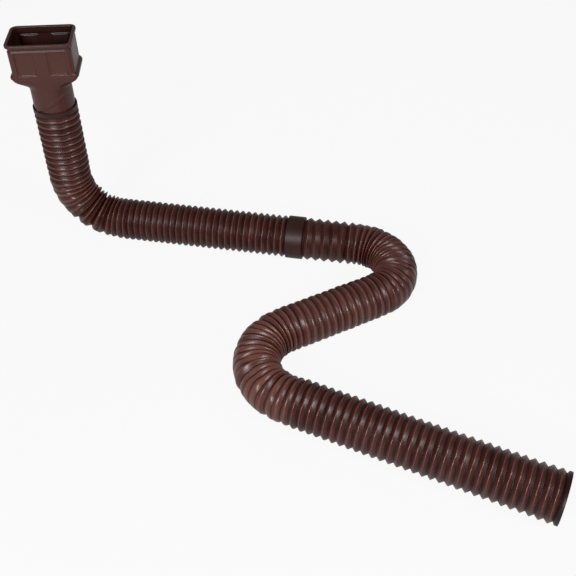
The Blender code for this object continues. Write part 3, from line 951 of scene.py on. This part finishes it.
def panel_share(x):
    """How much of a panel's recess there is at x: 1 in a panel, 0 outside it."""
    outer = np.clip((PANEL_SIDE - abs(x)) / EDGE, 0.0, 1.0)
    inner = np.clip((abs(x) - PANEL_RIB / 2) / EDGE, 0.0, 1.0)
    share = outer * inner
    return share * share * (3 - 2 * share)


def socket_outline(proud, recess, bulge):
    """Points of the socket's outline, from the middle of the +X side, anticlockwise."""
    half_x = SOCKET_WIDTH / 2 + proud + bulge
    half_y = SOCKET_DEPTH / 2 + proud
    corner = SOCKET_CORNER + proud
    quarter = [(half_x, (half_y - corner) * k / SIDE_STEPS) for k in range(SIDE_STEPS)]
    for k in range(CORNER_STEPS + 1):
        angle = pi / 2 * k / CORNER_STEPS
        quarter.append((half_x - corner + corner * cos(angle),
                        half_y - corner + corner * sin(angle)))
    stretch = (half_x - corner) / (SOCKET_WIDTH / 2 - SOCKET_CORNER)
    for mark in MARKS:
        x = mark if mark < PANEL_SIDE + PANEL_GAP else mark * stretch
        quarter.append((x, half_y - recess * panel_share(x)))
    half = quarter + [(-x, y) for x, y in reversed(quarter[:-1])]
    return np.array(half + [(x, -y) for x, y in reversed(half[1:-1])])


plain = socket_outline(0.0, 0.0, 0.0)
gaps = np.linalg.norm(np.roll(plain, -1, axis=0) - plain, axis=1)
turned = 2 * pi * np.concatenate(([0.0], np.cumsum(gaps)[:-1])) / gaps.sum()
print("outline points:", len(plain))

# %% [markdown]
# ## The levels of the adapter
# From the rim down, each level is a row: its height, how proud the wall stands, the panels'
# recess, the side bulge and how round it is. The rows from the shoulder to the bead serve for the
# outside and, a wall's thickness further in, for the inside. The neck's levels crowd together near
# its top, where the ridge runs out.

# %% Levels of the adapter
SOFT_STEPS = 3
SOFT_REACH = 0.0009
MOST_OF_A_STEP = 0.45
LEAST_STEP = 1e-6
HIP_LEVELS = 12
NECK_LEVELS = 90
NECK_CROWDING = 1.4
RIM_CHAMFER = 0.0016
MOUTH_CHAMFER = 0.0008
GROOVE_CORNER = 0.3
BEAD_TOP = PANEL_BOTTOM - 2 * EDGE


def soften(levels):
    """Levels with each corner of the stack replaced by a short curve."""
    levels = np.array(levels)
    made = [levels[0]]
    for before, here, after in zip(levels, levels[1:], levels[2:]):
        start, end = [
            here + arm * min(MOST_OF_A_STEP,
                             SOFT_REACH / max(np.linalg.norm(arm[:2]), LEAST_STEP))
            for arm in (before - here, after - here)]
        for k in range(SOFT_STEPS + 1):
            t = k / SOFT_STEPS
            made.append((1 - t) ** 2 * start + 2 * t * (1 - t) * here + t * t * end)
    made.append(levels[-1])
    return made


def chamber(proud):
    """Levels from the shoulder down past the panels and the bead."""
    return [
        (SHOULDER - EDGE, proud, 0, 0, 0),
        (PANEL_TOP, proud, 0, 0, 0),
        (PANEL_TOP - EDGE, proud, PANEL_RECESS, 0, 0),
        (PANEL_BOTTOM + EDGE, proud, PANEL_RECESS, 0, 0),
        (PANEL_BOTTOM, proud, 0, BEAD_BULGE / 2, 0),
        (BEAD_TOP, proud, 0, BEAD_BULGE, 0),
        (BEAD_TOP - BEAD_HEIGHT + EDGE, proud, 0, BEAD_BULGE, 0),
    ]


def hips(proud):
    """Levels from the socket's foot down to the neck: rounder and rounder."""
    return [(SOCKET_BOTTOM - HIP_HEIGHT * k / HIP_LEVELS, proud, 0.0, BEAD_BULGE / 2,
             sin(k / HIP_LEVELS * pi / 2) ** 2) for k in range(HIP_LEVELS + 1)]


def neck(proud):
    """Levels down the neck, close enough for the ridges."""
    return [(NECK_TOP - NECK_TOP * (k / NECK_LEVELS) ** NECK_CROWDING, proud, 0.0,
             BEAD_BULGE / 2, 1.0) for k in range(1, NECK_LEVELS + 1)]


rim_outside = [
    (RIM, RIM_PROUD - RIM_CHAMFER, 0, 0, 0),
    (RIM, RIM_PROUD, 0, 0, 0),
    (GROOVE + EDGE, RIM_PROUD, 0, 0, 0),
    (GROOVE + GROOVE_CORNER * EDGE, 0.0, 0, 0, 0),
    (SHOULDER, 0.0, 0, 0, 0),
]
mouth = [
    (RIM, -SOCKET_WALL + MOUTH_CHAMFER, 0, 0, 0),
    (RIM - MOUTH_CHAMFER, -SOCKET_WALL, 0, 0, 0),
    (SHOULDER, -SOCKET_WALL, 0, 0, 0),
]
outside, inside = [soften(top + chamber(proud) + hips(proud)) + neck(proud)
                   for top, proud in ((rim_outside, SHOULDER_PROUD),
                                      (mouth, SHOULDER_PROUD - SOCKET_WALL))]
print("levels:", len(outside), "outside and", len(inside), "inside")

# %% [markdown]
# ## The ridge on the neck
# A coarse ridge climbs the neck as a screw thread does, so that the hose can be turned on to it.
# It is a smooth swelling of the wall: its height falls off with the distance from a helix, slowly
# above it and steeply below, and it runs out to nothing at its upper end.

# %% Ridges
RIDGE_LEAD = 0.130
RIDGE_PROUD = 0.0013
RIDGE_ABOVE = 0.0070
RIDGE_BELOW = 0.0010
SHADE_BELOW = 0.0028
RIDGE_TOP = NECK_TOP - 0.0085
RIDGE_TOP_ANGLE = radians(-30.0)
RIDGE_RUNOUT = radians(18.0)


def ridge(angle, height):
    """How proud the ridge stands on the neck at angles and a height, and how shaded it is there."""
    total, shade = np.zeros_like(angle), np.zeros_like(angle)
    for start in (RIDGE_TOP_ANGLE, RIDGE_TOP_ANGLE + pi):
        below = np.mod(start - angle + RIDGE_RUNOUT, 2 * pi) - RIDGE_RUNOUT
        centre = RIDGE_TOP - RIDGE_LEAD * below / (2 * pi)
        away = height - centre
        near = np.clip(1 - np.where(away > 0, away / RIDGE_ABOVE, -away / RIDGE_BELOW), 0.0, 1.0)
        fade = np.clip(below / RIDGE_RUNOUT, 0.0, 1.0)
        total = np.maximum(total, RIDGE_PROUD * fade * near * near * (3 - 2 * near))
        shade = np.maximum(shade, fade * ((away < 0.0) & (away > -SHADE_BELOW)))
    return total, shade


print("ridge height:", 1000 * RIDGE_PROUD, "mm, and one turn climbs", 1000 * RIDGE_LEAD, "mm")

# %% [markdown]
# ## From levels to a piece
# Each level becomes a ring of points, flat for the socket and round for the neck, and a mix of
# both at the hips. One skin runs down the outside rings, up the inside ones and back to the first,
# so the wall is closed all round.

# %% Make the adapter
ADAPTER_SHARP = radians(50.0)


def adapter_ring(level, wall):
    """Points of one level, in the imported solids' frame."""
    height, proud, recess, bulge, roundness = level
    square = socket_outline(proud, recess, bulge)
    radius = NECK_RADIUS - wall + np.zeros_like(turned)

    # Outside, the neck has its ridge, and the wall above it stands a step further out
    if wall == 0.0:
        radius += ridge(turned, height)[0] if height < NECK_TOP else NECK_STEP
    circle = np.stack((radius * np.cos(turned), radius * np.sin(turned)), axis=1)
    flat = square * (1 - roundness) + circle * roundness
    heights = np.full((len(flat), 1), height)
    return np.hstack((flat, heights)) + np.array(NECK_END)


def closed_loft(name, rings, material):
    """A piece whose skin runs through the rings and back to the first."""
    across, around = len(rings), len(rings[0])
    index = np.arange(across * around).reshape(across, around)
    below = np.roll(index, -1, axis=0)
    faces = np.stack((index, below, np.roll(below, -1, axis=1), np.roll(index, -1, axis=1)), axis=2)
    mesh = bpy.data.meshes.new(name)
    mesh.from_pydata(np.concatenate(rings).tolist(), [], faces.reshape(-1, 4).tolist())
    mesh.shade_smooth()
    mesh.set_sharp_from_angle(angle=ADAPTER_SHARP)
    mesh.materials.append(material)
    piece = bpy.data.objects.new(name, mesh)
    bpy.context.scene.collection.objects.link(piece)
    return piece


rings = [adapter_ring(level, 0.0) for level in outside]
rings += [adapter_ring(level, NECK_WALL) for level in reversed(inside)]
adapter = closed_loft("adapter", rings, adapter_plastic)
print("adapter:", len(adapter.data.vertices), "points", len(adapter.data.polygons), "faces")

# %% [markdown]
# ## Where the adapter is shaded
# The material reads one number of painted shade, ring by ring: down the outside it is 0 but for
# the groove, the step above the neck and the strip under the ridge. All of the inside has it in
# full.

# %% Shade the adapter
GROOVE_SHADE = 0.8
STEP_SHADE = 0.6
RIDGE_SHADE = 0.8
GROOVE_OVERLAP = 0.0003
STEP_BAND = 0.0012

shades = []
for height, *_ in outside:
    in_groove = SHOULDER - GROOVE_OVERLAP < height < GROOVE + EDGE / 2
    at_step = NECK_TOP - STEP_BAND < height < NECK_TOP
    below = ridge(turned, height)[1] * RIDGE_SHADE if height < NECK_TOP else 0.0 * turned
    shades.append(np.maximum(below, GROOVE_SHADE * in_groove + STEP_SHADE * at_step))
shades.append(np.ones(len(inside) * len(plain)))
layer = adapter.data.attributes.new("shade", "FLOAT", "POINT")
layer.data.foreach_set("value", np.concatenate(shades))
print("shaded points:", int((np.concatenate(shades) > 0.0).sum()))

# %% [markdown]
# ## What the camera sees of the floor and the world
# A floor that is lit to white would throw its light back at the hose and grey its folds. So floor
# and world are dimmer than they look: Light Path tells the rays apart, and those that come from
# the camera are given white. Rays that were mirrored or went through glass get a share of it.

# %% Share that is seen
def seen_share(tree, mirrored_share):
    """1 for what the camera sees, and a share for what is seen mirrored or through glass."""
    rays = add_node(tree, "ShaderNodeLightPath")
    mirrored = add_node(tree, "ShaderNodeMath", {
        0: rays.outputs["Is Glossy Ray"], 1: rays.outputs["Is Transmission Ray"]},
        operation="MAXIMUM")
    return add_node(tree, "ShaderNodeMath", {
        0: mirrored.outputs[0], 1: mirrored_share, 2: rays.outputs["Is Camera Ray"]},
        operation="MULTIPLY_ADD").outputs[0]


FLOOR_MIRRORED = 0.40
WORLD_MIRRORED = 0.15
print("mirrored shares: floor", FLOOR_MIRRORED, "world", WORLD_MIRRORED)

# %% [markdown]
# ## Floor
# The camera looks down, so the floor is all that it sees behind the hose. The floor is matt paper
# of a pale grey, and a share of its own light brings it to white where nothing shades it. That
# light is only seen and lights nothing, so the hose's shadow stays.

# %% Floor
REACH = 12.0
OWN_LIGHT = 0.92
PAPER_MM = 330.0
PAPER_GREY = "#B8B8B8"
PAPER_GREY_LIGHT = "#C0C0C0"


def floor_material():
    """Pale floor with a share of its own light for the camera and for reflections."""
    material, tree, output = new_material("white_studio_floor")
    place = add_node(tree, "ShaderNodeTexCoord")
    paper = add_node(tree, "ShaderNodeTexNoise", {
        "Vector": place.outputs["Object"], "Scale": 1000.0 / PAPER_MM, "Detail": 3.0})
    grey = add_node(tree, "ShaderNodeMix", {0: paper.outputs["Fac"], 6: colour(PAPER_GREY),
                                            7: colour(PAPER_GREY_LIGHT)}, data_type="RGBA")
    lit = add_node(tree, "ShaderNodeBsdfDiffuse", {"Color": grey.outputs[2]})
    own = add_node(tree, "ShaderNodeEmission", {"Color": colour("#FFFFFF"), "Strength": 1.0})
    share = add_node(tree, "ShaderNodeMath", {0: seen_share(tree, FLOOR_MIRRORED), 1: OWN_LIGHT},
                     operation="MULTIPLY")
    both = add_node(tree, "ShaderNodeMixShader", {0: share.outputs[0], 1: lit.outputs[0],
                                                  2: own.outputs[0]})
    tree.links.new(both.outputs[0], output.inputs["Surface"])
    return material


floor_mesh = bpy.data.meshes.new("floor")
floor_mesh.from_pydata([(-REACH, -REACH, 0), (REACH, -REACH, 0), (REACH, REACH, 0),
                        (-REACH, REACH, 0)], [], [(0, 1, 2, 3)])
floor_mesh.materials.append(floor_material())
floor = bpy.data.objects.new("floor", floor_mesh)
bpy.context.scene.collection.objects.link(floor)
print("floor:", REACH * 2, "m wide")

# %% [markdown]
# ## Lamps
# Two softboxes stand on either side of the camera, the left one stronger, as in a small product
# studio, so each crest glints towards the lens. A wide, weak one behind keeps the back from being
# black, and stays out of reflections, where it would turn the folds grey. Together with the world
# they light a white surface that faces them to about white.

# %% Lamps
LAMPS = (  # name, place, target, size in metres, power in watts
    ("left_softbox", (-1.3, -1.9, 1.55), (-0.1, 0.1, 0.1), 0.9, 50.0),
    ("right_softbox", (1.6, -1.5, 1.5), (0.0, 0.1, 0.1), 0.65, 27.0),
    ("back_softbox", (0.2, 2.3, 1.9), (0.0, 0.1, 0.1), 2.0, 9.0),
)


def softbox(name, place, target, size, power):
    """A square area lamp that faces a target."""
    data = bpy.data.lights.new(name, "AREA")
    data.shape = "SQUARE"
    data.size = size
    data.energy = power
    lamp = bpy.data.objects.new(name, data)
    bpy.context.scene.collection.objects.link(lamp)
    lamp.location = place
    lamp.rotation_euler = (Vector(target) - Vector(place)).to_track_quat("-Z", "Y").to_euler()
    return lamp


lamps = {name: softbox(name, *rest) for name, *rest in LAMPS}
lamps["back_softbox"].visible_glossy = False
print("lamps:", list(lamps))

# %% [markdown]
# ## World
# The world fills the shade evenly. To the camera it is as white as the floor, so that nothing grey
# shows beyond the floor's edge.

# %% World
WORLD_LIGHT = 0.12
WORLD_SEEN = 0.925

world = bpy.data.worlds.new("studio")
bpy.context.scene.world = world
world.use_nodes = True
world.node_tree.nodes.clear()
level = add_node(world.node_tree, "ShaderNodeMath", {
    0: seen_share(world.node_tree, WORLD_MIRRORED), 1: WORLD_SEEN - WORLD_LIGHT, 2: WORLD_LIGHT},
    operation="MULTIPLY_ADD")
fill = add_node(world.node_tree, "ShaderNodeBackground", {
    "Color": colour("#FFFFFF"), "Strength": level.outputs[0]})
add_node(world.node_tree, "ShaderNodeOutputWorld", {"Surface": fill.outputs[0]})
bpy.context.scene.view_settings.view_transform = "Standard"
print("world:", WORLD_LIGHT, "on the object and", WORLD_SEEN, "to the camera")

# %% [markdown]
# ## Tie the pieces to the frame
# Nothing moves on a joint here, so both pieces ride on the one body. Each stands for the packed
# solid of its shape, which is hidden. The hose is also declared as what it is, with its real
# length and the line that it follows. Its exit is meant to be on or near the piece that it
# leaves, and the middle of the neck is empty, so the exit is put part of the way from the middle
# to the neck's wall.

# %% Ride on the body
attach(hose, "root")
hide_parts("corrugated_hose")
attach(adapter, "root")
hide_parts("downspout_adapter")
